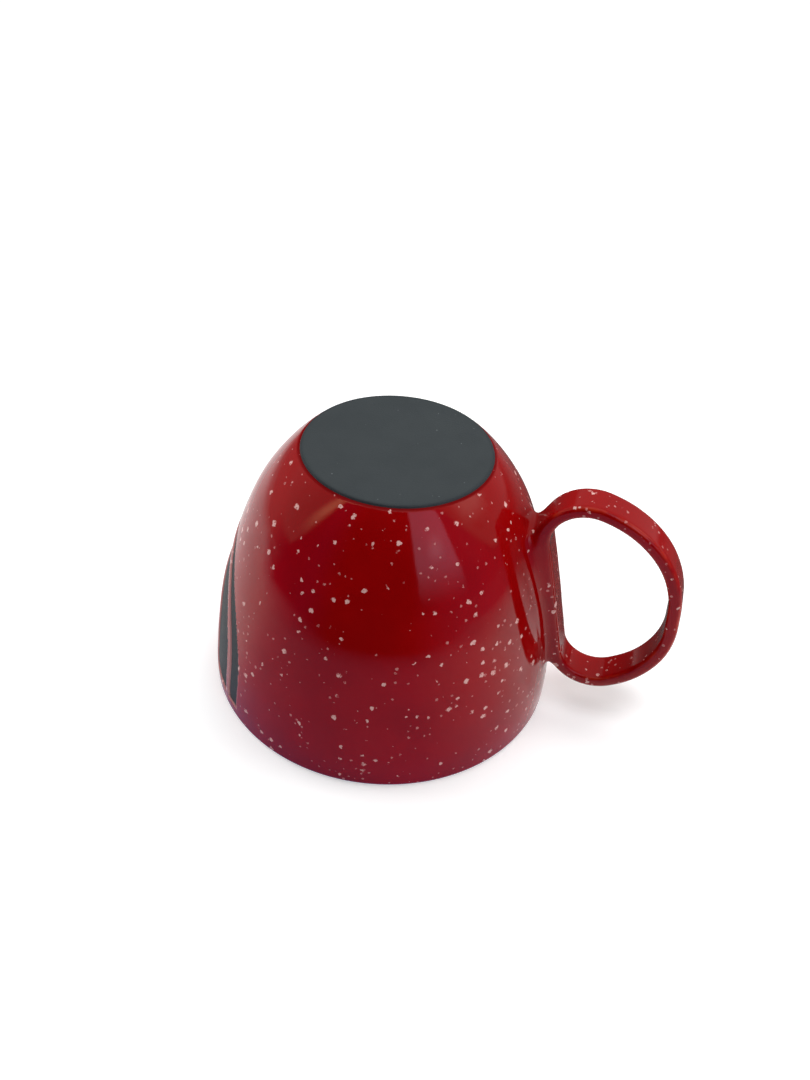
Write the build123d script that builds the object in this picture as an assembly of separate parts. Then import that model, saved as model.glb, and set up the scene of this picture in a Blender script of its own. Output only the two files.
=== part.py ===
from build123d import *
from math import asin, atan2, cos, degrees, radians, sin, sqrt, tan
import os

# A hand-made one-handled coffee cup, standing upside down on its rim.
# Millimetres, +Z up, the origin on the cup's axis in the plane of the rim, the handle along +X.

# Vessel, measured over the glaze
RIM_RADIUS = 45.2  # the widest part of the wall
HEIGHT = 70.5  # from the rim to the foot
FOOT_RADIUS = 23.0  # the flat foot
BELLY_LEVEL = 2.2  # height of the widest part, where the wall is upright
FOOT_LEAN = 46.86  # degrees by which the wall leans inwards at the foot
SHOULDER_LEG = 11.62  # from the foot's edge, straight on down, to the corner that the shoulder's arc rounds

# Clay and glaze
WALL = 3.2  # clay of the wall
FLOOR = 5.0  # clay between the foot and the bottom of the inside
FLOOR_ROUND = 9.0  # corner between the inside's bottom and its wall
FOOT_BARE = 0.9  # bare clay beside the foot
FOOT_EDGE = 0.35  # softened edge of the foot
GLAZE = 0.45  # thickness of the coat
LIP_ROUND = 1.6  # rounded corners of the lip, over the glaze
LIP_BAND = 2.3  # height of the band of glaze that wraps the lip

# Handle: a flat strap bent to a closed D, measured over the glaze
STRAP_WIDTH = 9.0
STRAP_THICK = 3.4
STRAP_ROUND = 1.2
STEM_LOW = 20.7  # lower end of the straight run that is pressed to the wall
STEM_HIGH = 52.9  # upper end of that run
STEM_LOW_STANDOFF = 2.2  # the strap's middle stands this far out of the wall
STEM_HIGH_STANDOFF = 3.0
LOW_CORNER = 7.2  # height of the D's corners, before they are rounded
HIGH_CORNER = 70.4
OUTER_HIGH_CORNER = 60.6
OUTER_LOW_CORNER = 22.7
HIGH_REACH = 36.6  # from the stem's corner to the outer corner
LOW_REACH = 24.0
LOW_BEND = 9.9  # bend radii at the strap's middle
HIGH_BEND = 10.5
OUTER_HIGH_BEND = 27.2
OUTER_LOW_BEND = 23.2
LEAST_RUN = 0.8  # straight strap between two bends
HANDLE_SECTOR = 40  # degrees of wall, on each side of the handle, that the handle is fitted to

# Slip that joins the strap to the wall
SLIP = 0.4  # least layer between the strap and the wall
SLIP_FILLET = 3.0  # radius of the hollow along both sides of the stem
SLIP_FILLET_END = 18  # degrees by which that hollow stops short of running flush with strap and wall
SLIP_DROP = 0.6  # how far the hollow's lower edge lies below the wall's middle line
SLIP_INSET = 0.25  # the wiped slip is narrower than the strap on each side
SLIP_ROOT = 2.0  # blank left under the wall's surface before it is cut away
NOTCH_ROUND = 1.5  # smoothed hollow at both ends of the stem
NOTCH_BITE = 0.15  # how far the hollow's round is pressed into the wall and the strap

# Arch windows in the glaze, opposite the handle
ARCH_RADIUS = 34.0  # outside of the largest arch
ARCH_BANDS = (3.2, 9.0, 9.0)  # widths of the dark arches, from the outside in
ARCH_LINE = 1.5  # glaze left between two arches
ARCH_SPRING = 12.0  # height where the arches' legs start to bend
ARCH_FOOT = 4.0  # height where the legs start

# The wall's outline as (radius, height) in the cup's half section: two tangent arcs, the long belly and the
# shoulder, which round the two corners of a line that goes up from the belly and in to the foot
BELLY_POINT = Vector(RIM_RADIUS, BELLY_LEVEL)
FOOT_POINT = Vector(FOOT_RADIUS, HEIGHT)
FOOT_OUT = Vector(cos(radians(FOOT_LEAN)), sin(radians(FOOT_LEAN)))
FOOT_AHEAD = Vector(-FOOT_OUT.Y, FOOT_OUT.X)
CHORD = FOOT_POINT - BELLY_POINT
BELLY_LEG = (CHORD.dot(CHORD) / 2 - SHOULDER_LEG * CHORD.dot(FOOT_AHEAD)) / (
    CHORD.Y + SHOULDER_LEG * (1 - FOOT_AHEAD.Y)
)
MIDDLE_RUN = CHORD - FOOT_AHEAD * SHOULDER_LEG - Vector(0, BELLY_LEG)
TURN = degrees(atan2(-MIDDLE_RUN.X, MIDDLE_RUN.Y))
BELLY_ARC = BELLY_LEG / tan(radians(TURN) / 2)
SHOULDER_ARC = SHOULDER_LEG / tan(radians(FOOT_LEAN - TURN) / 2)
BELLY_CENTRE = Vector(RIM_RADIUS - BELLY_ARC, BELLY_LEVEL)
SHOULDER_CENTRE = FOOT_POINT - FOOT_OUT * SHOULDER_ARC
TURN_LEVEL = BELLY_LEVEL + BELLY_ARC * sin(radians(TURN))
GLAZE_STOP = HEIGHT - FOOT_BARE


def height_angle(centre, radius, height):
    """Angle, in degrees, of an arc's point at a height."""
    return degrees(asin((height - centre.Y) / radius))


def belly_span(inset, low):
    """Centre, radius, start and end of the belly's arc, inset from the glaze, from a height to the shoulder."""
    radius = BELLY_ARC - inset
    return BELLY_CENTRE, radius, height_angle(BELLY_CENTRE, radius, low), TURN


def shoulder_span(inset, high):
    """Centre, radius, start and end of the shoulder's arc, inset from the glaze, from the belly to a height."""
    radius = SHOULDER_ARC - inset
    return SHOULDER_CENTRE, radius, TURN, height_angle(SHOULDER_CENTRE, radius, high)


def bowed_edge(centre, radius, start, end):
    """A short arc as one smooth curve. Turned round the axis it makes a plain surface, also where the arc's
    centre lies beyond the axis."""
    handle = radius * tan(radians(end - start) / 4) * 4 / 3
    first_out = Vector(cos(radians(start)), sin(radians(start)))
    last_out = Vector(cos(radians(end)), sin(radians(end)))
    first = centre + first_out * radius
    last = centre + last_out * radius
    first_ahead = Vector(-first_out.Y, first_out.X) * handle
    last_ahead = Vector(-last_out.Y, last_out.X) * handle
    return Bezier(first, first + first_ahead, last - last_ahead, last)


def lip_edge(inset, low):
    """The wall's curve beside the lip, inset from the glaze, from a height to the top of the lip's band."""
    radius = BELLY_ARC - inset
    start = height_angle(BELLY_CENTRE, radius, low)
    return bowed_edge(BELLY_CENTRE, radius, start, height_angle(BELLY_CENTRE, radius, LIP_BAND))


def wall_edges(inset, high):
    """The wall's curve, inset from the glaze, from the top of the lip's band to a height: belly and shoulder."""
    return [bowed_edge(*belly_span(inset, LIP_BAND)), bowed_edge(*shoulder_span(inset, high))]


def wall_radius(height):
    """Distance of the wall from the cup's axis at a height."""
    if height < TURN_LEVEL:
        return BELLY_CENTRE.X + sqrt(BELLY_ARC**2 - (height - BELLY_CENTRE.Y) ** 2)
    return SHOULDER_CENTRE.X + sqrt(SHOULDER_ARC**2 - (height - SHOULDER_CENTRE.Y) ** 2)


def corners_near(sketch, *points):
    """The corners of a sketch that lie nearest to the given points."""
    return [sketch.vertices().sort_by_distance(Vector(point))[0] for point in points]


def clay_section():
    """Half section of the clay vessel."""
    bottom = HEIGHT - FLOOR
    outer = [lip_edge(GLAZE, GLAZE), *wall_edges(GLAZE, GLAZE_STOP)]
    inner = [lip_edge(GLAZE + WALL, GLAZE), *wall_edges(GLAZE + WALL, bottom)]
    foot = Polyline(outer[-1] @ 1, FOOT_POINT, (0, HEIGHT), (0, bottom), inner[-1] @ 1)
    lip = Line(inner[0] @ 0, outer[0] @ 0)
    section = make_face([*outer, *foot.edges(), *inner, lip])
    section = fillet(corners_near(section, outer[0] @ 0, inner[0] @ 0), LIP_ROUND - GLAZE)
    section = fillet(corners_near(section, inner[-1] @ 1), FLOOR_ROUND)
    return fillet(corners_near(section, FOOT_POINT), FOOT_EDGE)


def lip_section():
    """Half section of the whole lip, clay and glaze together."""
    outer = lip_edge(0, 0)
    inner = lip_edge(GLAZE + WALL + GLAZE, 0)
    section = make_face([outer, inner, Line(inner @ 0, outer @ 0), Line(inner @ 1, outer @ 1)])
    return fillet(corners_near(section, outer @ 0, inner @ 0), LIP_ROUND)


def outer_coat_section():
    """Half section of the coat on the outside of the wall."""
    on_clay = wall_edges(GLAZE, GLAZE_STOP)
    surface = wall_edges(0, GLAZE_STOP)
    ends = [Line(on_clay[0] @ 0, surface[0] @ 0), Line(on_clay[-1] @ 1, surface[-1] @ 1)]
    return make_face([*on_clay, *surface, *ends])


def hollow_section(coat):
    """Half section of the cup's hollow above the lip's band, with a coat of the given thickness on its clay."""
    bottom = HEIGHT - FLOOR - coat
    side = wall_edges(GLAZE + WALL + coat, bottom)
    close = Polyline(side[-1] @ 1, (0, bottom), (0, LIP_BAND), side[0] @ 0)
    section = make_face([*side, *close.edges()])
    return fillet(corners_near(section, side[-1] @ 1), FLOOR_ROUND - coat)


def turned(section, start=-180, size=360):
    """Turns a half section round the cup's axis, from an angle and by an angle, with the handle at 0."""
    return revolve((Plane.XZ * section).rotate(Axis.Z, start), Axis.Z, size)


def wall_behind_handle(grow):
    """The sector of the vessel behind the handle, without its hollow: its clay grown by a thickness."""
    wall = wall_edges(GLAZE - grow, GLAZE_STOP)
    close = Polyline(wall[-1] @ 1, (0, GLAZE_STOP), (0, LIP_BAND), wall[0] @ 0)
    return turned(make_face([*wall, *close.edges()]), -HANDLE_SECTOR, 2 * HANDLE_SECTOR)


def stem_corner(height):
    """Point at a height on the line of the strap's straight run beside the wall."""
    low_radius = wall_radius(STEM_LOW) + STEM_LOW_STANDOFF
    high_radius = wall_radius(STEM_HIGH) + STEM_HIGH_STANDOFF
    share = (height - STEM_LOW) / (STEM_HIGH - STEM_LOW)
    return Vector(low_radius + share * (high_radius - low_radius), height)


# The D of the strap's middle line, in the cup's half section
D_LOW = stem_corner(LOW_CORNER)
D_HIGH = stem_corner(HIGH_CORNER)
D_CORNERS = [
    D_LOW,
    D_HIGH,
    Vector(D_HIGH.X + HIGH_REACH, OUTER_HIGH_CORNER),
    Vector(D_LOW.X + LOW_REACH, OUTER_LOW_CORNER),
]


def half_angle(index):
    """Half the angle, in radians, between the two sides of the D that meet at a corner."""
    before = D_CORNERS[index - 1] - D_CORNERS[index]
    after = D_CORNERS[(index + 1) % len(D_CORNERS)] - D_CORNERS[index]
    return radians(before.get_angle(after) / 2)


def fitted_bends(wished):
    """Bend radii of the D's corners, made smaller where a side is too short for its two bends."""
    reaches = [bend / tan(half_angle(index)) for index, bend in enumerate(wished)]
    fits = []
    for index, reach in enumerate(reaches):
        length = (D_CORNERS[index] - D_CORNERS[index - 1]).length
        fits.append(min(1, (length - LEAST_RUN) / (reach + reaches[index - 1])))
    return [bend * min(fits[index], fits[(index + 1) % len(fits)]) for index, bend in enumerate(wished)]


D_BENDS = fitted_bends([LOW_BEND, HIGH_BEND, OUTER_HIGH_BEND, OUTER_LOW_BEND])


def bend_centre(index):
    """Centre of the rounded corner of the D with the given index."""
    corner = D_CORNERS[index]
    before = (D_CORNERS[index - 1] - corner).normalized()
    after = (D_CORNERS[(index + 1) % len(D_CORNERS)] - corner).normalized()
    return corner + (before + after).normalized() * (D_BENDS[index] / sin(half_angle(index)))


def strap_ring(coat):
    """The closed strap, with a coat of the given thickness on its clay."""
    path = Plane.XZ * FilletPolyline(*D_CORNERS, radius=D_BENDS, close=True)
    start = Plane(path @ 0, x_dir=(0, 1, 0), z_dir=path % 0)
    trim = GLAZE - coat
    section = RectangleRounded(STRAP_WIDTH - 2 * trim, STRAP_THICK - 2 * trim, STRAP_ROUND - trim)
    return sweep(start * section, path)


def circles_meet(first, first_radius, second, second_radius, side):
    """Point where two circles in the plane meet, on the left (1) or right (-1) going from first to second."""
    span = second - first
    along = (first_radius**2 - second_radius**2 + span.length**2) / (2 * span.length)
    aside = sqrt(first_radius**2 - along**2)
    ahead = span.normalized()
    return first + ahead * along + Vector(-ahead.Y, ahead.X) * (side * aside)


def lean(point, centre):
    """Angle, in degrees, of the direction from an arc's centre to a point beside the wall."""
    return degrees(atan2(point.Y - centre.Y, point.X - centre.X))


# Hollows at the two ends of the stem, between the clay wall and the back of the strap
STRAP_BACK = STRAP_THICK / 2 - GLAZE
NOTCH_GAP = NOTCH_ROUND - NOTCH_BITE


def notch_centre(wall_centre, wall_arc, bend, side):
    """Centre of the hollow between an arc of the wall and the strap, above (1) or below (-1) the stem: beside
    the stem's straight run, or beside the bend where the hollow lies beyond that run."""
    to_wall = wall_arc - GLAZE + NOTCH_GAP
    to_bend = D_BENDS[bend] + STRAP_BACK + NOTCH_GAP
    ahead = (D_HIGH - D_LOW).normalized()
    run_end = bend_centre(bend) - Vector(ahead.Y, -ahead.X) * to_bend
    nearest = run_end + ahead * (wall_centre - run_end).dot(ahead)
    beside_run = nearest + ahead * (side * sqrt(to_wall**2 - (wall_centre - nearest).length ** 2))
    if (beside_run - run_end).dot(ahead) * side < 0:
        return beside_run
    return circles_meet(wall_centre, to_wall, bend_centre(bend), to_bend, side)


LOW_NOTCH = notch_centre(BELLY_CENTRE, BELLY_ARC, 0, -1)
LOW_LEAN = lean(LOW_NOTCH, BELLY_CENTRE)
HIGH_NOTCH = notch_centre(SHOULDER_CENTRE, SHOULDER_ARC, 1, 1)
HIGH_LEAN = lean(HIGH_NOTCH, SHOULDER_CENTRE)
if HIGH_LEAN < TURN:
    HIGH_NOTCH = notch_centre(BELLY_CENTRE, BELLY_ARC, 1, 1)
    HIGH_LEAN = lean(HIGH_NOTCH, BELLY_CENTRE)


def slip_section(coat):
    """Cross section of the slip: a web behind the strap, with a hollow fillet on each side."""
    side = STRAP_WIDTH / 2 - GLAZE - SLIP_INSET
    centre_y = SLIP_FILLET * cos(radians(SLIP_FILLET_END)) - SLIP_DROP
    centre_x = SLIP_FILLET * cos(radians(SLIP_FILLET_END)) + side
    turn = 90 - 2 * SLIP_FILLET_END
    right = CenterArc((centre_x, centre_y), SLIP_FILLET - coat, 270 - SLIP_FILLET_END, -turn)
    left = CenterArc((-centre_x, centre_y), SLIP_FILLET - coat, -SLIP_FILLET_END, -turn)
    foot = (right @ 0).X
    top = (right @ 1).X
    web = Polyline(left @ 0, (-top, STRAP_THICK), (top, STRAP_THICK), right @ 1)
    root = Polyline(left @ 1, (-foot, -SLIP_ROOT), (foot, -SLIP_ROOT), right @ 0)
    return make_face([right, *web.edges(), left, *root.edges()])


def bent_along(section, centre, radius, start, end):
    """A cross section, set on an arc of the wall and turned along it, about the arc's own centre."""
    pivot = Axis((centre.X, 0, centre.Y), (0, -1, 0))
    seat = Plane(origin=(centre.X + radius, 0, centre.Y), x_dir=(0, -1, 0), z_dir=(0, 0, 1))
    return revolve((seat * section).rotate(pivot, start), pivot, end - start)


def across(point, radius):
    """A rod of the given radius lying across the handle's plane, through a point of the half section."""
    return Pos(point.X, 0, point.Y) * Rot(90, 0, 0) * Cylinder(radius, 2 * STRAP_WIDTH)


def slip_form(coat):
    """The slip between wall and strap, with a coat of the given thickness, still running into the wall."""
    section = slip_section(coat)
    blank = bent_along(section, BELLY_CENTRE, BELLY_ARC - GLAZE, LOW_LEAN, min(TURN, HIGH_LEAN))
    if HIGH_LEAN > TURN:
        blank += bent_along(section, SHOULDER_CENTRE, SHOULDER_ARC - GLAZE, TURN, HIGH_LEAN)
    opening = offset(make_face(FilletPolyline(*D_CORNERS, radius=D_BENDS, close=True)), -STRAP_BACK / 2)
    inside_strap = extrude(Plane.XZ * opening, STRAP_WIDTH, both=True)
    return blank - inside_strap - across(LOW_NOTCH, NOTCH_ROUND - coat) - across(HIGH_NOTCH, NOTCH_ROUND - coat)


def stilted_arch(radius):
    """A half disc on straight legs, standing on the line where the arches start."""
    legs = Pos(0, ARCH_FOOT) * Rectangle(2 * radius, ARCH_SPRING - ARCH_FOOT, align=(Align.CENTER, Align.MIN))
    head = Rectangle(2 * radius, radius, align=(Align.CENTER, Align.MIN)) & Circle(radius)
    return legs + Pos(0, ARCH_SPRING) * head


def arch_windows():
    """Arches inside each other, pushed through the wall on the side opposite the handle."""
    arches = Sketch()
    outside = ARCH_RADIUS
    for band in ARCH_BANDS:
        arches += stilted_arch(outside) - stilted_arch(outside - band)
        outside -= band + ARCH_LINE
    face_out = Plane(origin=(0, 0, 0), x_dir=(0, -1, 0), z_dir=(-1, 0, 0))
    return extrude(face_out * arches, RIM_RADIUS + WALL)


def build():
    """All the pieces, by name."""
    clay_body = turned(clay_section())
    wall = wall_behind_handle(0)
    strap = strap_ring(0)
    slip = slip_form(0)
    coated_handle = strap_ring(GLAZE) + slip_form(GLAZE)
    handle_loop = strap - wall_behind_handle(SLIP)
    outer_coat = outer_coat_section()
    coat_at_handle = turned(outer_coat, -HANDLE_SECTOR, 2 * HANDLE_SECTOR) - coated_handle
    coat_elsewhere = turned(outer_coat, HANDLE_SECTOR, 360 - 2 * HANDLE_SECTOR) - arch_windows()
    return {
        "clay_body": clay_body,
        "handle_loop": handle_loop,
        "handle_slip_joint": slip - wall - handle_loop,
        "outer_glaze": coat_at_handle + coat_elsewhere,
        "rim_glaze": turned(lip_section()) - clay_body,
        "liner_glaze": turned(hollow_section(0)) - turned(hollow_section(GLAZE)),
        "handle_glaze": coated_handle - wall - strap - slip,
    }


os.makedirs("parts", exist_ok=True)
for name, shape in build().items():
    export_step(shape, f"parts/{name}.step")
    print(name, "solids", len(shape.solids()), "volume", round(shape.volume, 1))
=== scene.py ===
from math import cos, pi, radians, sin, tan

import bpy
import numpy as np
from mathutils import Matrix, Vector


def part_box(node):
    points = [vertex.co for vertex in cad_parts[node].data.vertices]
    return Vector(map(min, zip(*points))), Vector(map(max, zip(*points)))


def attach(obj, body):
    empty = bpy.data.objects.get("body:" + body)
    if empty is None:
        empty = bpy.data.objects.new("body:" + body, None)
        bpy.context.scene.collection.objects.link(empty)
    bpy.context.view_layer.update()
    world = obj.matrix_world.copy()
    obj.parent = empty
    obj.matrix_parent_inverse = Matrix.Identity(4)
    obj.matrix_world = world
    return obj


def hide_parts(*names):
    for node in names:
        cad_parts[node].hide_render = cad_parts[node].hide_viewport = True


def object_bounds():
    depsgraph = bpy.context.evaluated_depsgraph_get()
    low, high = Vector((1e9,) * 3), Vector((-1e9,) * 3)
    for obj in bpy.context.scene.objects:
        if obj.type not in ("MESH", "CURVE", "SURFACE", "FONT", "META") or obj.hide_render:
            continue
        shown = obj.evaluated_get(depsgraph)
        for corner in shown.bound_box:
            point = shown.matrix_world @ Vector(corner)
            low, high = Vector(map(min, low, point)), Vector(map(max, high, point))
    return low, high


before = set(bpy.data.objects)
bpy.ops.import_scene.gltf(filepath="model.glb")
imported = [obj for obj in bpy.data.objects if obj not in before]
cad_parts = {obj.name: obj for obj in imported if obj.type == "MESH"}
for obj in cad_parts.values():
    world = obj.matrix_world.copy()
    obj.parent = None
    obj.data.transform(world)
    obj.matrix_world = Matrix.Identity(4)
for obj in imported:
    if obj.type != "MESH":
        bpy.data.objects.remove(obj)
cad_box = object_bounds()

# A one-handled coffee cup in speckled red glaze, upside down on a white table.
# Sizes are in millimetres, in the cup's own frame, and become metres where Blender objects are made.
# X points from the cup's axis to its handle. A turn is an angle round the axis from the handle, and a rise
# an angle above the table, both in degrees.
MM = 0.001

# Vessel, measured over the glaze
RIM_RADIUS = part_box("outer_glaze")[1].y / MM
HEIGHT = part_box("clay_body")[1].z / MM
FOOT_RADIUS = 23.0
BELLY_LEVEL = 2.2  # where the wall is widest and upright
FOOT_LEAN = radians(46.86)  # how far the wall leans in at the foot's edge
SHOULDER_LEG = 11.62  # from the foot's edge to the corner that the shoulder's arc rounds
GLAZE = 0.45
FOOT_BARE = 0.55
GLAZE_STOP = HEIGHT - FOOT_BARE
WALL = 3.2
FLOOR = 5.0
FLOOR_ROUND = 9.0
LIP_ROUND = 1.6

# Handle, measured over the glaze: corners and bends of the strap's middle line in the XZ plane
STRAP_WIDTH = 9.0
STRAP_THICK = 3.4
STRAP_ROUND = 1.7
STRAP_CREST = 3.0  # 2 makes the strap's edges round, and more draws their bend together along a line
D_CORNERS = ((49.41, 7.2), (34.02, 70.4), (70.62, 60.6), (73.41, 22.7))
D_BENDS = (9.9, 10.5, 27.2, 23.2)
JOIN_LEVELS = (14.0, 54.0)  # heights of the handle's lower and upper end
JOIN_REACHES = (3.4, 6.4)  # softness of the hollow where each end runs into the wall

# Arch windows in the glaze, opposite the handle
ARCH_RADIUS = 34.0
ARCH_BANDS = (3.2, 9.0, 9.0)
ARCH_LINE = 1.5
ARCH_SPRING = 12.0
ARCH_FOOT = 4.0
WINDOW_DEPTH = GLAZE + 0.25  # the coat is opened to just under the clay's surface
WINDOW_SOFT = 0.4  # softness of the glaze's edge there

# Faint unevenness left by hand throwing. Each wave has its share of the height, its turn in radians for each
# millimetre of height, the times that it goes round the cup, its start, and how far it follows the sway.
RIPPLE = 0.05
RIPPLE_SWAY = (2, 0.7)  # times that the sway goes round the cup, and its start
RIPPLE_WAVES = (
    (1.0, 0.62, 0, 0.0, 1),
    (0.7, 0.27, 3, 0.0, 0),
    (1.0, 0.03, 2, 1.1, 0),
    (0.6, -0.09, 5, 0.4, 0),
)

# Mesh of the coat
GRID = 0.42
GRID_MARGIN = (1.37, 1.41, 1.43)  # cells below the box, uneven to keep flat faces off the grid's planes
SLOPE_STEP = 0.02  # distance over which a slope is measured
SETTLE_ROUNDS = 4  # times that each point is moved onto the surface

# Colours, linear
RED = (0.322, 0.0011, 0.0018, 1)
RED_DEEP = (0.268, 0.0008, 0.0013, 1)
RED_THIN_AND_GLINT = (0.520, 0.030, 0.010, 1)
RED_END_SHADE = (0.085, 0.004, 0.005, 1)
PINK_EDGE_AND_GLINT = (0.50, 0.22, 0.22, 1)
SPECK_PALE = (0.76, 0.44, 0.41, 1)
SPECK_PINK = (0.62, 0.17, 0.17, 1)
CLAY = (0.036, 0.044, 0.047, 1)
DARK_CLAY_AND_SHADE = (0.020, 0.026, 0.029, 1)
CLAY_FLECK = (0.15, 0.165, 0.17, 1)
CARD_BLUE = (0.05, 0.15, 1.0, 1)
WHITE = (1, 1, 1, 1)
COOL_WHITE = (0.96, 0.98, 1.0, 1)
TABLE = (0.80, 0.80, 0.80, 1)

# Specks: size of the cells that hold one each, share of the cells, and least and largest radius
LARGE_SPECKS = (2.8, 0.46, 0.42, 0.92)
SMALL_SPECKS = (1.6, 0.36, 0.22, 0.48)
CLAY_FLECKS = (1.4, 0.10, 0.10, 0.24)
SPECK_CORE = 0.68  # share of a speck's radius inside its soft edge
SPECK_RAG = 1.1  # how far a speck's outline wanders, as a share of the largest radius
SPECK_RAG_SIZE = 0.9  # size of those wanderings, as such a share
GATHER_SIZE = 11.0  # size of the patches with fewer and more specks
GATHER_LEVELS = (0.78, 1.10)
CROWD_SPAN = (22.0, 53.0)  # along X, where specks get more crowded towards the handle
CROWD_MORE = 0.30
FINE_SPAN = (44.0, 52.0)  # along X, where large specks get finer towards the handle
FINE_SHARE = 0.62
SMALL_STRENGTH = 0.5
CRUMB_SIZE = 0.42  # size of the uneven spots within a speck
CRUMB_SPAN = (0.30, 0.48)
CRUMB_LEAST = 0.30
SPECK_COVER = 1.25

# Glaze finish
NOISE_MIDDLE = (0.35, 0.65)  # span that holds most values of a noise
NOISE_WIDE = (0.3, 0.7)
DEPTH_SIZE = 17.0  # size of the deeper red patches
THIN_AND_GLINT_BEND = (0.55, 1.15)  # bend of an edge, per millimetre, over which the glaze gets thinner and lighter, partly a painted highlight
THIN_AND_GLINT_SIZE = 5.0
THIN_AND_GLINT_SHARE = 0.75
THIN_AND_GLINT_STOP = (0.5, 1.5)  # depths below the coat's end between which that sets in
END_SHADE_AND_DULL_SPAN = (0.55, 0.1)  # depths below the coat's end between which it gets dark, a painted shade, and dull
END_SHADE_SHARE = 0.6
PINK_EDGE_AND_GLINT_SPAN = (0.55, 0.12)  # distance from a window over which the glaze gets pink, thinner there and with a painted highlight
PEEL_SIZE = 2.4  # size and height of the gloss's faint unevenness
PEEL_HEIGHT = 0.012
SPECK_HEIGHT = 0.03
GLAZE_ROUGH = (0.07, 0.22)  # between specks and on them
GLAZE_SPECULAR = (0.5, 0.06)  # all over, and at the coat's end
GLAZE_IOR = 1.32

# Clay finish
GRAIN_SIZE = 0.5
GRAIN_DETAIL = 4.0
GRAIN_ROUGH = 0.65
GRAIN_SHARE = 0.8
GRAIN_HEIGHT = 0.05
CLOUD_SIZE = 9.0
CLAY_SPAN = (0.30, 0.62)
FLECK_SHARE = 0.6
FOOT_SHADE_LEVELS = (2.0, 1.2)  # depths below the foot's face between which its edge gets a painted shade
FOOT_SHADE_WIDTHS = (0.9, 0.2)  # and distances in from that edge
FOOT_SHADE_SHARE = 0.8
CLAY_ROUGH = (0.62, 0.82)

# Table, which glows a little where it is seen, and less under the handle, which paints a shadow there on top
# of the lamps' own
TABLE_SIZE = 12000.0
TABLE_LIFT = 0.46
TABLE_FAR_LIFT = 0.9
TABLE_FAR = (250.0, 1500.0)
PAINTED_SHADOW_PLACE = (57, 6, 0)
PAINTED_SHADOW_SHAPE = (0.55, 1, 1)
PAINTED_SHADOW_REACH = (3, 13)
PAINTED_SHADOW_LIFT = 0.0
SKY_LIGHT = 0.05

# Dark card round the cup, seen only in the gloss
CARD_FAR = 620.0
CARD_STEP = 3  # degrees
CARD_UNDER = 3.0  # how far it reaches in under the lip
CARD_LIFTS = (0.2, 0.4, 1.0, 2.0)  # its heights over the table, from the lip outwards
CARD_START_FADE = (0.75, 1.3)  # shares of the distance of its start, between which it gets dark
CARD_GREY = 0.5  # how dark its upper part is
CARD_GREY_RISE = 60
CARD_TOP_FADE = (1.12, 30.0)  # its top times the first and plus the second is where the grey starts
CARD_GREY_LEAST = (1.2, 40.0)  # and, in the same way, the least height where the grey ends
CARD_GREY_FADE = 1.2
CARD_GLOW = 0.45
# By turn: the distance where it gets dark, how dark it is before that and after it, the rise up to which it
# is dark, and how blue it is before that distance and after it
CARD_EDGE = (
    (-180, 400, 0.00, 0.50, 10, 1.0, 0.00),
    (-168, 260, 0.00, 0.80, 8, 1.0, 0.15),
    (-156, 210, 0.10, 1.00, 8, 1.0, 0.15),
    (-148, 205, 0.35, 1.00, 20, 1.0, 0.15),
    (-140, 200, 0.55, 1.00, 36, 1.0, 0.15),
    (-131, 195, 0.65, 1.00, 52, 1.0, 0.20),
    (-110, 185, 0.75, 1.00, 56, 1.0, 0.00),
    (-60, 185, 0.75, 1.00, 56, 1.0, 0.00),
    (-25, 205, 0.40, 0.90, 50, 0.9, 0.25),
    (-8, 185, 0.05, 0.90, 28, 0.4, 0.25),
    (8, 190, 0.05, 0.90, 10, 0.0, 0.15),
    (16, 195, 0.30, 0.95, 8, 0.0, 0.08),
    (26, 200, 0.92, 0.95, 6, 0.0, 0.00),
    (70, 200, 0.92, 0.80, 6, 0.0, 0.00),
    (100, 220, 0.80, 0.80, 22, 0.0, 0.00),
    (130, 300, 0.30, 0.90, 30, 0.0, 0.00),
    (180, 400, 0.00, 0.50, 10, 0.0, 0.00),
)

# Soft lamps, not seen in the gloss: name, turn, rise, distance, width, height, brightness and tint
AIM = (0, 0, HEIGHT * 0.7)  # the point that they face
LAMPS = (
    ("window_light", -43, 25, 520, 250, 340, 1.4, (0.84, 0.92, 1.0)),
    ("side_light", 12, 26, 560, 260, 190, 1.4, (1.0, 0.95, 0.88)),
    ("back_light", 70, 62, 850, 750, 750, 3.3, (1.0, 0.99, 0.98)),
    ("front_light", -115, 66, 850, 750, 750, 0.7, (1.0, 0.99, 0.98)),
    ("left_light", 175, 25, 700, 500, 400, 4.6, (1.0, 0.99, 0.98)),
    ("right_light", 5, 25, 700, 500, 400, 2.6, (1.0, 0.98, 0.96)),
)

# Bright patches, seen only in the gloss: name; turn and rise of the low left, low right, high right and high
# left corners; shares of its size over which its left, right, low and high sides fade; distance, brightness
# and tint
PATCH_STEPS = 33
PATCHES = (
    (
        "window",
        ((-54.5, -1), (-19, -3), (-27.5, 56), (-59, 56)),
        (0.04, 0.05, 0.45, 0.02),
        560, 1.5, (1.0, 0.93, 1.30),
    ),
    (
        "window_middle",
        ((-48, 20), (-28, 20), (-28, 38), (-48, 38)),
        (0.5, 0.5, 0.5, 0.5),
        540, 1.3, (0.95, 1.0, 1.1),
    ),
    (
        "side_window",
        ((-14, 24), (30, 14), (34, 44), (-12, 64)),
        (0.4, 0.4, 0.4, 0.3),
        560, 1.7, (1.0, 0.84, 0.70),
    ),
    (
        "ceiling_left",
        ((-161, 10), (-147, 14), (-120, 69), (-135, 69)),
        (0.5, 0.4, 0.4, 0.1),
        560, 3.8, (1.0, 0.52, 0.24),
    ),
)

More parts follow.
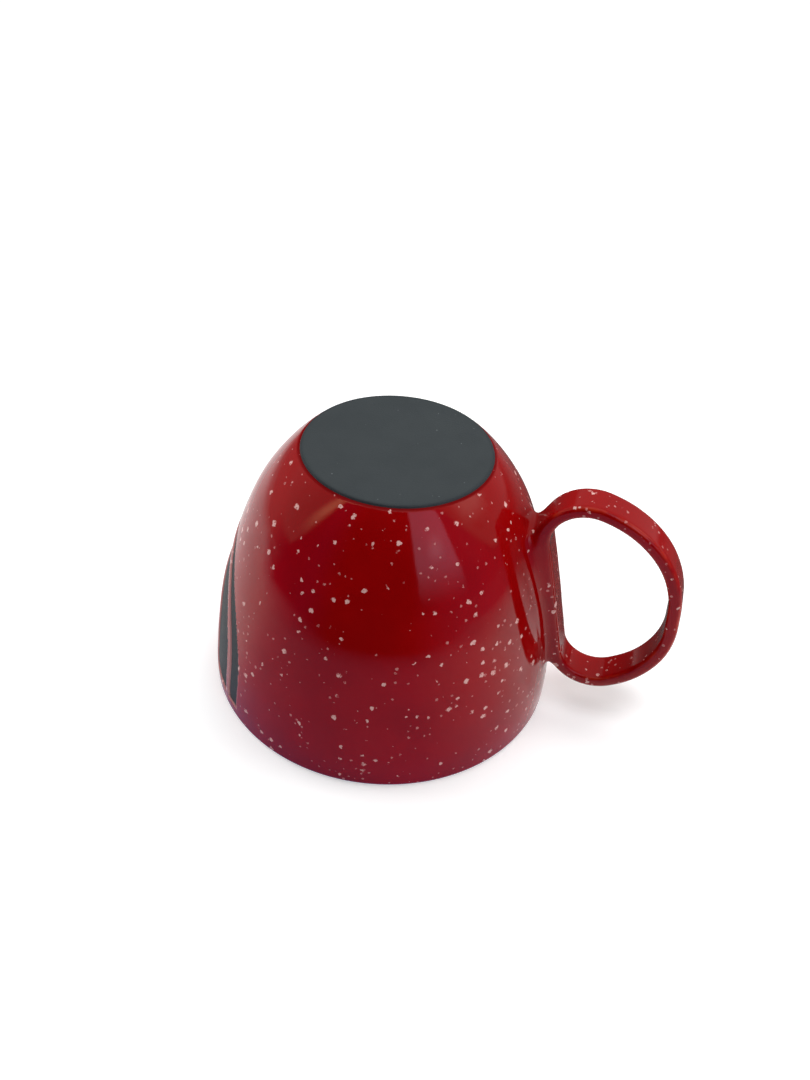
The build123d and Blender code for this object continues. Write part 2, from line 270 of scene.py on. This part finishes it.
# Camera, as fitted to the picture
CAMERA_PLACE = (47.6, -202.6, 212.4)
CAMERA_RIGHT = (0.9622, 0.2641, 0.0661)
CAMERA_UP = (-0.2173, 0.5984, 0.7712)
CAMERA_BACK = (0.1641, -0.7564, 0.6331)
CAMERA_LENS = 35.27
CAMERA_SENSOR = 36.0
CAMERA_NEAR = 5.0
CAMERA_FAR = 50000.0


# The wall's two tangent arcs, the long belly and the shoulder, as (radius, height) in the half section
def unit(vector):
    """A vector of the same direction and length 1."""
    return vector / np.linalg.norm(vector)


BELLY_POINT = np.array((RIM_RADIUS, BELLY_LEVEL))
FOOT_POINT = np.array((FOOT_RADIUS, HEIGHT))
FOOT_OUT = np.array((cos(FOOT_LEAN), sin(FOOT_LEAN)))
FOOT_AHEAD = np.array((-FOOT_OUT[1], FOOT_OUT[0]))
CHORD = FOOT_POINT - BELLY_POINT
BELLY_LEG = (CHORD @ CHORD / 2 - SHOULDER_LEG * CHORD @ FOOT_AHEAD) / (
    CHORD[1] + SHOULDER_LEG * (1 - FOOT_AHEAD[1])
)
MIDDLE_RUN = unit(CHORD - FOOT_AHEAD * SHOULDER_LEG - np.array((0, BELLY_LEG)))
TURN = np.arctan2(-MIDDLE_RUN[0], MIDDLE_RUN[1])
BELLY_ARC = BELLY_LEG / tan(TURN / 2)
SHOULDER_ARC = SHOULDER_LEG / tan((FOOT_LEAN - TURN) / 2)
BELLY_CENTRE = BELLY_POINT - np.array((BELLY_ARC, 0))
SHOULDER_CENTRE = FOOT_POINT - FOOT_OUT * SHOULDER_ARC
LINER_DEPTH = GLAZE + WALL + GLAZE
LINER_FLOOR = HEIGHT - FLOOR - GLAZE


# Form of the coat, as a distance that is less than 0 inside
def rounded_both(first, second, radius):
    """Distance to what two solids have in common, with their shared edge rounded."""
    corner = np.hypot(np.maximum(first + radius, 0), np.maximum(second + radius, 0))
    return np.minimum(-radius, np.maximum(first, second)) + corner


def merged(first, second, reach):
    """Distance to two solids joined with a soft hollow between them."""
    share = np.maximum(reach - np.abs(first - second), 0) / reach
    return np.minimum(first, second) - share**2 * reach / 4


def wall_distance(radius, height):
    """Distance from the outside of the vessel's wall."""
    belly = np.hypot(radius - BELLY_CENTRE[0], height - BELLY_CENTRE[1]) - BELLY_ARC
    shoulder = np.hypot(radius - SHOULDER_CENTRE[0], height - SHOULDER_CENTRE[1]) - SHOULDER_ARC
    above = (height - SHOULDER_CENTRE[1]) * cos(TURN) > (radius - SHOULDER_CENTRE[0]) * sin(TURN)
    return np.where(above, shoulder, belly)


def strap_route():
    """The strap's middle line: its straight runs as pairs of points, and its bends."""
    corners = [np.array(corner) for corner in D_CORNERS]
    starts, ends, bends = [], [], []
    for index, (corner, bend) in enumerate(zip(corners, D_BENDS)):
        before = unit(corners[index - 1] - corner)
        after = unit(corners[(index + 1) % len(corners)] - corner)
        half = np.arccos(before @ after) / 2
        inwards = unit(before + after)
        starts.append(corner + before * bend / tan(half))
        ends.append(corner + after * bend / tan(half))
        bends.append((corner + inwards * bend / sin(half), bend, -inwards, sin(half)))
    runs = [(ends[index - 1], starts[index]) for index in range(len(corners))]
    return runs, bends


STRAP_RUNS, STRAP_BENDS = strap_route()


def strap_distance(x, y, z):
    """Distance from the strap: a flat bar with rounded edges, bent along its middle line."""
    aside = np.full(np.broadcast(x, z).shape, np.inf)
    for start, end in STRAP_RUNS:
        span = end - start
        share = np.clip(((x - start[0]) * span[0] + (z - start[1]) * span[1]) / (span @ span), 0, 1)
        aside = np.minimum(aside, np.hypot(x - start[0] - share * span[0], z - start[1] - share * span[1]))
    for centre, bend, middle, least in STRAP_BENDS:
        reach = np.hypot(x - centre[0], z - centre[1])
        inside = (x - centre[0]) * middle[0] + (z - centre[1]) * middle[1] > reach * least
        aside = np.where(inside, np.minimum(aside, np.abs(reach - bend)), aside)
    through = aside - STRAP_THICK / 2 + STRAP_ROUND
    across = np.abs(y) - STRAP_WIDTH / 2 + STRAP_ROUND
    corner = np.maximum(through, 0) ** STRAP_CREST + np.maximum(across, 0) ** STRAP_CREST
    return corner ** (1 / STRAP_CREST) + np.minimum(np.maximum(through, across), 0) - STRAP_ROUND


def window_gap(x, y, z):
    """Distance from the arch windows, measured across the cup: less than 0 inside a window."""
    ring = np.hypot(y, np.maximum(z - ARCH_SPRING, 0))
    gap = np.full(np.broadcast(y, z).shape, np.inf)
    outside = ARCH_RADIUS
    for band in ARCH_BANDS:
        gap = np.minimum(gap, np.maximum(ring - outside, outside - band - ring))
        outside -= band + ARCH_LINE
    return np.where(x < 0, np.maximum(gap, ARCH_FOOT - z), RIM_RADIUS)


def ripple(x, y, z):
    """Faint unevenness of a hand-thrown wall, never above the true surface."""
    turn = np.arctan2(y, x)
    sway = np.sin(RIPPLE_SWAY[0] * turn + RIPPLE_SWAY[1])
    total = 0
    most = 0
    for share, climb, times, start, follow in RIPPLE_WAVES:
        total = total + share * np.sin(z * climb + times * turn + start + follow * sway)
        most += share
    return RIPPLE * (1 + total / most)


def coat_distance(x, y, z):
    """Distance from the glazed cup, with the windows opened and its coat stopped short of the foot."""
    radius = np.hypot(x, y)
    outside = wall_distance(radius, z)
    hollow = rounded_both(outside + LINER_DEPTH, z - LINER_FLOOR, FLOOR_ROUND - GLAZE)
    cup = np.maximum(rounded_both(outside, -z, LIP_ROUND), rounded_both(-hollow, -z, LIP_ROUND))
    reach = np.interp(z, JOIN_LEVELS, JOIN_REACHES)
    coat = merged(cup, strap_distance(x, y, z), reach) + ripple(x, y, z)
    coat = rounded_both(coat, z - GLAZE_STOP, GLAZE)
    opening = np.minimum(-window_gap(x, y, z), outside + WINDOW_DEPTH)
    return -merged(-coat, -opening, WINDOW_SOFT)


def slopes(points):
    """Direction in which the distance from the coat grows, at each point."""
    found = np.empty_like(points)
    for axis in range(3):
        step = np.zeros(3)
        step[axis] = SLOPE_STEP
        found[:, axis] = coat_distance(*(points + step).T) - coat_distance(*(points - step).T)
    return found / np.linalg.norm(found, axis=1)[:, None]


def edge_bend(points):
    """How sharply the coat bends outwards at each point, per millimetre."""
    step = GRID / 2
    total = -6 * coat_distance(*points.T)
    for axis in range(3):
        for side in (-step, step):
            offset = np.zeros(3)
            offset[axis] = side
            total = total + coat_distance(*(points + offset).T)
    return total / step**2


# Mesh of the coat
def crossing_points(field, low, where, corners):
    """The middle of the crossings on the edges of each cell that the surface passes."""
    total = np.zeros((len(where), 3))
    count = np.zeros(len(where))
    values = {corner: field[tuple((where + corner).T)] for corner in corners}
    for first in corners:
        for axis in range(3):
            if first[axis] == 0:
                second = tuple(1 if a == axis else first[a] for a in range(3))
                change = (values[first] < 0) != (values[second] < 0)
                share = values[first][change] / (values[first][change] - values[second][change])
                place = np.tile(np.array(first, float), (change.sum(), 1))
                place[:, axis] = share
                total[change] += place
                count[change] += 1
    return low + GRID * (where + total / count[:, None])


def crossing_faces(inside, number):
    """A four-sided face, between four cells, across each edge of the grid that the surface passes."""
    cells = number.shape
    faces = []
    for axis in range(3):
        b, c = (axis + 1) % 3, (axis + 2) % 3
        ahead = [slice(None)] * 3
        behind = [slice(None)] * 3
        ahead[axis] = slice(1, None)
        behind[axis] = slice(None, -1)
        first, second = inside[tuple(behind)], inside[tuple(ahead)]
        for leaving, order in ((True, (0, 1, 2, 3)), (False, (3, 2, 1, 0))):
            edge = np.argwhere((first == leaving) & (second != leaving))
            edge = edge[(edge[:, b] > 0) & (edge[:, b] < cells[b])]
            edge = edge[(edge[:, c] > 0) & (edge[:, c] < cells[c])]
            ring = []
            for back_b, back_c in ((1, 1), (0, 1), (0, 0), (1, 0)):
                cell = edge.copy()
                cell[:, b] -= back_b
                cell[:, c] -= back_c
                ring.append(number[tuple(cell.T)])
            faces.append(np.stack([ring[index] for index in order], axis=1))
    return np.concatenate(faces)


def net_of(field, low):
    """Points and faces of the surface where a sampled distance is 0, with a point in each cell it passes."""
    inside = field < 0
    cells = np.array(field.shape) - 1
    corners = [(i, j, k) for i in (0, 1) for j in (0, 1) for k in (0, 1)]
    part = [inside[i:i + cells[0], j:j + cells[1], k:k + cells[2]] for i, j, k in corners]
    crossed = np.logical_or.reduce(part) & ~np.logical_and.reduce(part)
    where = np.argwhere(crossed)
    number = np.full(cells, -1, np.int32)
    number[crossed] = np.arange(len(where))
    return crossing_points(field, low, where, corners), crossing_faces(inside, number)


def give_values(mesh, values):
    """Values at a mesh's points, by name, for its material to read."""
    for name, numbers in values.items():
        layer = mesh.attributes.new(name, "FLOAT", "POINT")
        layer.data.foreach_set("value", np.asarray(numbers, np.float32).ravel())


def coat_mesh():
    """The glaze coat as one mesh, with its normals and with values that its material reads."""
    low = np.array(cad_box[0]) / MM - GRID * np.array(GRID_MARGIN)
    steps = np.ceil((np.array(cad_box[1]) / MM + 2 * GRID - low) / GRID).astype(int)
    xs, ys, zs = (low[axis] + GRID * np.arange(steps[axis]) for axis in range(3))
    field = np.stack([coat_distance(x, ys[:, None], zs[None, :]) for x in xs])
    points, faces = net_of(field, low)
    for _ in range(SETTLE_ROUNDS):
        move = np.clip(coat_distance(*points.T), -GRID / 2, GRID / 2)
        points -= slopes(points) * move[:, None]

    mesh = bpy.data.meshes.new("red_glaze_coat")
    mesh.vertices.add(len(points))
    mesh.vertices.foreach_set("co", (points * MM).ravel())
    mesh.loops.add(faces.size)
    mesh.loops.foreach_set("vertex_index", faces.ravel())
    mesh.polygons.add(len(faces))
    mesh.polygons.foreach_set("loop_start", np.arange(len(faces)) * 4)
    mesh.polygons.foreach_set("use_smooth", np.ones(len(faces), bool))
    give_values(mesh, {"window_gap": window_gap(*points.T), "edge_bend": edge_bend(points)})
    mesh.update(calc_edges=True)
    mesh.validate()
    mesh.normals_split_custom_set_from_vertices(slopes(points))
    return mesh


# Node helpers
def add(tree, kind, inputs=None, **settings):
    """A new node. Inputs, by name or number, are set to values or linked to sockets."""
    node = tree.nodes.new("ShaderNode" + kind)
    for name, value in settings.items():
        setattr(node, name, value)
    for name, value in (inputs or {}).items():
        if isinstance(value, bpy.types.NodeSocket):
            tree.links.new(value, node.inputs[name])
        else:
            node.inputs[name].default_value = value
    return node


def calc(tree, operation, *values, clamp=False):
    """The result of a sum, product or the like of values or sockets."""
    return add(tree, "Math", dict(enumerate(values)), operation=operation, use_clamp=clamp).outputs[0]


def vector_calc(tree, operation, *values, scale=None):
    """The result of a sum, product or the like of places, or the length of one."""
    inputs = dict(enumerate(values))
    if scale is not None:
        inputs["Scale"] = scale
    node = add(tree, "VectorMath", inputs, operation=operation)
    return node.outputs[1 if operation == "LENGTH" else 0]


def ramp(tree, value, low, high, to_low=0.0, to_high=1.0, smooth=True):
    """A value mapped from one range to another, clamped."""
    kind = "SMOOTHSTEP" if smooth else "LINEAR"
    inputs = {"Value": value, "From Min": low, "From Max": high, "To Min": to_low, "To Max": to_high}
    return add(tree, "MapRange", inputs, interpolation_type=kind).outputs[0]


def mix(tree, share, first, second):
    """Two colours mixed."""
    return add(tree, "Mix", {0: share, 6: first, 7: second}, data_type="RGBA").outputs[2]


def noise(tree, place, size, detail=2.0, rough=0.5):
    """The value of a noise whose lumps are about the given size, in millimetres."""
    inputs = {"Vector": place, "Scale": 1 / size, "Detail": detail, "Roughness": rough}
    return add(tree, "TexNoise", inputs).outputs[0]


def attribute(tree, name):
    """A value that the mesh has at its points."""
    return add(tree, "Attribute", attribute_name=name).outputs["Fac"]


def in_millimetres(tree):
    """The place on the object, in millimetres."""
    return vector_calc(tree, "SCALE", add(tree, "TexCoord").outputs["Object"], scale=1 / MM)


def empty_material(name):
    """A material with no nodes, and its tree."""
    material = bpy.data.materials.new(name)
    material.use_nodes = True
    material.node_tree.nodes.clear()
    return material, material.node_tree


def new_material(name):
    """A material of the cup: its tree, its surface shader and the place on the object."""
    material, tree = empty_material(name)
    shader = add(tree, "BsdfPrincipled")
    add(tree, "OutputMaterial", {"Surface": shader.outputs[0]})
    return material, tree, shader, in_millimetres(tree)


def specks(tree, place, kind, gather, shrink=1.0):
    """Mask of ragged specks. They are fewer where the value that gathers them is low."""
    cell, share, smallest, largest = kind
    scale = 1 / (SPECK_RAG_SIZE * largest)
    shift = add(tree, "TexNoise", {"Vector": place, "Scale": scale, "Detail": 1.0}).outputs[1]
    shift = vector_calc(tree, "SUBTRACT", shift, (0.5, 0.5, 0.5))
    shift = vector_calc(tree, "SCALE", shift, scale=SPECK_RAG * largest)
    voronoi = add(tree, "TexVoronoi", {"Vector": vector_calc(tree, "ADD", place, shift), "Scale": 1 / cell})
    draw = add(tree, "SeparateColor", {0: voronoi.outputs["Color"]}).outputs[0]
    draw = calc(tree, "MULTIPLY", draw, gather)
    size = ramp(tree, draw, 1 - share, 1, smallest / cell, largest / cell, smooth=False)
    size = calc(tree, "MULTIPLY", size, calc(tree, "GREATER_THAN", draw, 1 - share))
    size = calc(tree, "MULTIPLY", size, shrink)
    return ramp(tree, voronoi.outputs["Distance"], size, calc(tree, "MULTIPLY", size, SPECK_CORE))


# Materials
def glaze_specks(tree, place, along):
    """Mask of the glaze's pale specks, more crowded and finer on the handle. Along is the place along X."""
    gather = ramp(tree, noise(tree, place, GATHER_SIZE), *NOISE_MIDDLE, *GATHER_LEVELS)
    gather = calc(tree, "ADD", gather, ramp(tree, along, *CROWD_SPAN, 0, CROWD_MORE))
    large = specks(tree, place, LARGE_SPECKS, gather, ramp(tree, along, *FINE_SPAN, 1, FINE_SHARE))
    small = calc(tree, "MULTIPLY", specks(tree, place, SMALL_SPECKS, gather), SMALL_STRENGTH)
    crumb = ramp(tree, noise(tree, place, CRUMB_SIZE, 1.0), *CRUMB_SPAN, CRUMB_LEAST, 1)
    return calc(tree, "MULTIPLY", calc(tree, "MAXIMUM", large, small), crumb)


def red_glaze():
    """Deep red glossy glaze with scattered pale specks, thinner and lighter over sharp edges, with a
    highlight painted there.
    """
    material, tree, shader, place = new_material("speckled_red_glaze")
    axes = add(tree, "SeparateXYZ", {0: place})
    level = axes.outputs[2]
    pale = glaze_specks(tree, place, axes.outputs[0])

    depth = ramp(tree, noise(tree, place, DEPTH_SIZE, 3.0), *NOISE_WIDE)
    # Painted highlight: lighter over sharp edges, partly thinner glaze and partly the glint that such edges
    # catch
    thin_and_glint = ramp(tree, attribute(tree, "edge_bend"), *THIN_AND_GLINT_BEND)
    thin_and_glint = calc(tree, "MULTIPLY", thin_and_glint, ramp(tree, noise(tree, place, THIN_AND_GLINT_SIZE), *NOISE_MIDDLE))
    thin_and_glint = calc(tree, "MULTIPLY", thin_and_glint, ramp(tree, level, *(GLAZE_STOP - below for below in THIN_AND_GLINT_STOP)))
    end_shade_and_dull = ramp(tree, level, *(GLAZE_STOP - below for below in END_SHADE_AND_DULL_SPAN))
    body = mix(tree, depth, RED_DEEP, RED)
    body = mix(tree, calc(tree, "MULTIPLY", thin_and_glint, THIN_AND_GLINT_SHARE), body, RED_THIN_AND_GLINT)
    # Painted shade: the glaze gets darker where the coat ends at the foot
    body = mix(tree, calc(tree, "MULTIPLY", end_shade_and_dull, END_SHADE_SHARE), body, RED_END_SHADE)
    # Painted highlight: pink at the windows' edges, partly thinner glaze and partly the glint of the rounded
    # edge
    body = mix(tree, ramp(tree, attribute(tree, "window_gap"), *PINK_EDGE_AND_GLINT_SPAN), body, PINK_EDGE_AND_GLINT)
    speck = mix(tree, pale, SPECK_PINK, SPECK_PALE)
    colour = mix(tree, calc(tree, "MULTIPLY", pale, SPECK_COVER, clamp=True), body, speck)

    peel = calc(tree, "MULTIPLY", noise(tree, place, PEEL_SIZE), PEEL_HEIGHT)
    height = calc(tree, "ADD", peel, calc(tree, "MULTIPLY", pale, SPECK_HEIGHT))
    bump = add(tree, "Bump", {"Height": height, "Distance": MM, "Strength": 1.0})
    tree.links.new(colour, shader.inputs["Base Color"])
    tree.links.new(ramp(tree, pale, 0, 1, *GLAZE_ROUGH), shader.inputs["Roughness"])
    tree.links.new(ramp(tree, end_shade_and_dull, 0, 1, *GLAZE_SPECULAR), shader.inputs["Specular IOR Level"])
    tree.links.new(bump.outputs[0], shader.inputs["Normal"])
    shader.inputs["IOR"].default_value = GLAZE_IOR
    return material


def bare_clay():
    """Charcoal stoneware, unglazed: fine grain, a few pale flecks and a painted shade along the foot's edge.
    """
    material, tree, shader, place = new_material("charcoal_stoneware")
    grain = noise(tree, place, GRAIN_SIZE, GRAIN_DETAIL, GRAIN_ROUGH)
    cloud = noise(tree, place, CLOUD_SIZE, 3.0)
    shade = calc(
        tree, "ADD",
        calc(tree, "MULTIPLY", grain, GRAIN_SHARE),
        calc(tree, "MULTIPLY", cloud, 1 - GRAIN_SHARE),
    )
    axes = add(tree, "SeparateXYZ", {0: place})
    radius = vector_calc(tree, "LENGTH", vector_calc(tree, "MULTIPLY", place, (1, 1, 0)))
    # Painted shade on the foot's edge, the side that turns from the light
    line = calc(
        tree, "MULTIPLY",
        ramp(tree, axes.outputs[2], *(HEIGHT - below for below in FOOT_SHADE_LEVELS)),
        ramp(tree, radius, *(FOOT_RADIUS - inwards for inwards in FOOT_SHADE_WIDTHS)),
    )
    flecks = specks(tree, place, CLAY_FLECKS, 1.0)
    body = mix(tree, ramp(tree, shade, *CLAY_SPAN), DARK_CLAY_AND_SHADE, CLAY)
    body = mix(tree, calc(tree, "MULTIPLY", line, FOOT_SHADE_SHARE), body, DARK_CLAY_AND_SHADE)
    colour = mix(tree, calc(tree, "MULTIPLY", flecks, FLECK_SHARE), body, CLAY_FLECK)
    height = calc(tree, "MULTIPLY", grain, GRAIN_HEIGHT)
    bump = add(tree, "Bump", {"Height": height, "Distance": MM, "Strength": 1.0})
    tree.links.new(colour, shader.inputs["Base Color"])
    tree.links.new(ramp(tree, grain, *NOISE_WIDE, *CLAY_ROUGH), shader.inputs["Roughness"])
    tree.links.new(bump.outputs[0], shader.inputs["Normal"])
    return material


def seen_directly(tree):
    """1 for what the camera sees, straight, in gloss or through glass, else 0."""
    path = add(tree, "LightPath")
    shown = calc(tree, "MAXIMUM", path.outputs["Is Camera Ray"], path.outputs["Is Glossy Ray"])
    return calc(tree, "MAXIMUM", shown, path.outputs["Is Transmission Ray"])


def table_white():
    """A white table that keeps the cup's soft shadow, and has a shadow painted under the handle, where it
    glows less.
    """
    material, tree = empty_material("table_white")
    place = in_millimetres(tree)
    lift = ramp(tree, vector_calc(tree, "LENGTH", place), *TABLE_FAR, TABLE_LIFT, TABLE_FAR_LIFT)
    # Painted shadow: less glow in a patch under the handle
    shade = vector_calc(tree, "MULTIPLY", vector_calc(tree, "SUBTRACT", place, PAINTED_SHADOW_PLACE), PAINTED_SHADOW_SHAPE)
    shade = ramp(tree, vector_calc(tree, "LENGTH", shade), *PAINTED_SHADOW_REACH, PAINTED_SHADOW_LIFT, 1)
    strength = calc(tree, "MULTIPLY", seen_directly(tree), calc(tree, "MULTIPLY", lift, shade))
    matt = add(tree, "BsdfDiffuse", {"Color": TABLE})
    glow = add(tree, "Emission", {"Color": COOL_WHITE, "Strength": strength})
    both = add(tree, "AddShader", {0: matt.outputs[0], 1: glow.outputs[0]})
    add(tree, "OutputMaterial", {"Surface": both.outputs[0]})
    return material


def dark_card():
    """Black or faintly blue, and clear where it isn't solid."""
    material, tree = empty_material("dark_card")
    clear = add(tree, "BsdfTransparent")
    glow = add(tree, "Emission", {"Color": CARD_BLUE, "Strength": attribute(tree, "blue")})
    both = add(tree, "MixShader", {0: attribute(tree, "solid"), 1: clear.outputs[0], 2: glow.outputs[0]})
    add(tree, "OutputMaterial", {"Surface": both.outputs[0]})
    return material


def patch_light(name, tint):
    """Light that adds to what lies behind it."""
    material, tree = empty_material(name)
    clear = add(tree, "BsdfTransparent")
    glow = add(tree, "Emission", {"Color": (*tint, 1), "Strength": attribute(tree, "level")})
    both = add(tree, "AddShader", {0: clear.outputs[0], 1: glow.outputs[0]})
    add(tree, "OutputMaterial", {"Surface": both.outputs[0]})
    return material


# Pieces
coat = bpy.data.objects.new("red_glaze_coat", coat_mesh())
bpy.context.scene.collection.objects.link(coat)
coat.data.materials.append(red_glaze())
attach(coat, "root")
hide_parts("outer_glaze", "rim_glaze", "liner_glaze", "handle_glaze")

clay = bare_clay()
for node in ("clay_body", "handle_loop", "handle_slip_joint"):
    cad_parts[node].data.materials.clear()
    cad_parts[node].data.materials.append(clay)


# Stage
def quads(rows, columns):
    """Faces of a net of points in rows."""
    faces = []
    for row in range(rows - 1):
        for column in range(columns - 1):
            first = row * columns + column
            faces.append((first, first + 1, first + columns + 1, first + columns))
    return faces


def staged(name, points, faces, material):
    """A thing on the stage, which isn't part of the cup, from points in millimetres."""
    mesh = bpy.data.meshes.new(name)
    mesh.from_pydata((np.array(points) * MM).tolist(), [], faces)
    mesh.materials.append(material)
    thing = bpy.data.objects.new(name, mesh)
    bpy.context.scene.collection.objects.link(thing)
    return thing


def only_in_gloss(thing):
    """Hides a thing from all but reflections."""
    thing.visible_camera = False
    thing.visible_diffuse = False
    thing.visible_shadow = False


def outwards(turn, rise):
    """The direction at a turn and a rise, which may be arrays."""
    turn, rise = np.radians(turn), np.radians(rise)
    return np.stack([np.cos(turn) * np.cos(rise), np.sin(turn) * np.cos(rise), np.sin(rise)], axis=-1)


def card_round():
    """The dark card, as one curved strip: over the table, and up."""
    known = np.array(CARD_EDGE, float)
    turns = np.arange(-180, 180 + CARD_STEP, CARD_STEP)
    columns = [np.interp(turns, known[:, 0], values) for values in known.T[1:]]
    points, solid, blue = [], [], []
    for turn, start, near, dark, rise, near_blue, far_blue in zip(np.radians(turns), *columns):
        top = CARD_FAR * tan(radians(rise))
        grey_start = top * CARD_TOP_FADE[0] + CARD_TOP_FADE[1]
        grey_least = top * CARD_GREY_LEAST[0] + CARD_GREY_LEAST[1]
        grey_end = max(CARD_FAR * tan(radians(CARD_GREY_RISE)), grey_least)
        section = (
            (RIM_RADIUS - CARD_UNDER, CARD_LIFTS[0], near, CARD_GLOW * near_blue),
            (start * CARD_START_FADE[0], CARD_LIFTS[1], near, CARD_GLOW * near_blue),
            (start * CARD_START_FADE[1], CARD_LIFTS[2], dark, far_blue),
            (CARD_FAR, CARD_LIFTS[3], dark, far_blue),
            (CARD_FAR, top, dark, far_blue),
            (CARD_FAR, grey_start, CARD_GREY, 0),
            (CARD_FAR, grey_end, CARD_GREY, 0),
            (CARD_FAR, grey_end * CARD_GREY_FADE, 0, 0),
        )
        for radius, height, share, glow in section:
            points.append((radius * cos(turn), radius * sin(turn), height))
            solid.append(share)
            blue.append(glow)
    card = staged("dark_card", points, quads(len(turns), len(section)), dark_card())
    give_values(card.data, {"solid": solid, "blue": blue})
    only_in_gloss(card)


def softbox(name, turn, rise, distance, width, height, level, tint):
    """A soft lamp that faces the cup. Its level is the brightness of its face."""
    lamp = bpy.data.lights.new(name, "AREA")
    lamp.shape = "RECTANGLE"
    lamp.size = width * MM
    lamp.size_y = height * MM
    lamp.energy = level * pi * lamp.size * lamp.size_y
    lamp.color = tint
    out = Vector(outwards(turn, rise))
    thing = bpy.data.objects.new(name, lamp)
    thing.location = (Vector(AIM) + out * distance) * MM
    thing.rotation_mode = "QUATERNION"
    thing.rotation_quaternion = out.to_track_quat("Z", "Y")
    thing.visible_camera = False
    thing.visible_glossy = False
    bpy.context.scene.collection.objects.link(thing)


def bright_patch(name, corners, fades, distance, level, tint):
    """A bright patch with soft sides."""
    steps = np.linspace(0, 1, PATCH_STEPS)
    across, up = np.meshgrid(steps, steps)
    low_left, low_right, high_right, high_left = np.array(corners, float)[:, :, None, None]
    low = low_left + (low_right - low_left) * across
    high = high_left + (high_right - high_left) * across
    points = np.array(AIM) + outwards(*(low + (high - low) * up)).reshape(-1, 3) * distance
    share = np.ones_like(across)
    for inside, fade in zip((across, 1 - across, up, 1 - up), fades):
        ahead = np.clip(inside / fade, 0, 1)
        share = share * ahead**2 * (3 - 2 * ahead)
    patch = staged(name, points, quads(PATCH_STEPS, PATCH_STEPS), patch_light(name, tint))
    give_values(patch.data, {"level": share * level})
    only_in_gloss(patch)


half = TABLE_SIZE / 2
table_corners = [(-half, -half, 0), (half, -half, 0), (half, half, 0), (-half, half, 0)]
staged("table", table_corners, [(0, 1, 2, 3)], table_white())
card_round()
for lamp in LAMPS:
    softbox(*lamp)
for patch in PATCHES:
    bright_patch(*patch)

world = bpy.data.worlds.new("pale_room")
world.use_nodes = True
bpy.context.scene.world = world
sky = world.node_tree
sky.nodes.clear()
strength = ramp(sky, seen_directly(sky), 0, 1, SKY_LIGHT, 1.0, smooth=False)
backdrop = add(sky, "Background", {"Color": WHITE, "Strength": strength})
add(sky, "OutputWorld", {"Surface": backdrop.outputs[0]})

# Camera
lens = bpy.data.cameras.new("camera")
lens.sensor_width = CAMERA_SENSOR
lens.lens = CAMERA_LENS
lens.clip_start = CAMERA_NEAR * MM
lens.clip_end = CAMERA_FAR * MM
camera = bpy.data.objects.new("camera", lens)
turned = Matrix((CAMERA_RIGHT, CAMERA_UP, CAMERA_BACK)).transposed()
camera.matrix_world = Matrix.Translation(Vector(CAMERA_PLACE) * MM) @ turned.to_4x4()
bpy.context.scene.collection.objects.link(camera)
bpy.context.scene.camera = camera
bpy.context.scene.view_settings.view_transform = "Standard"
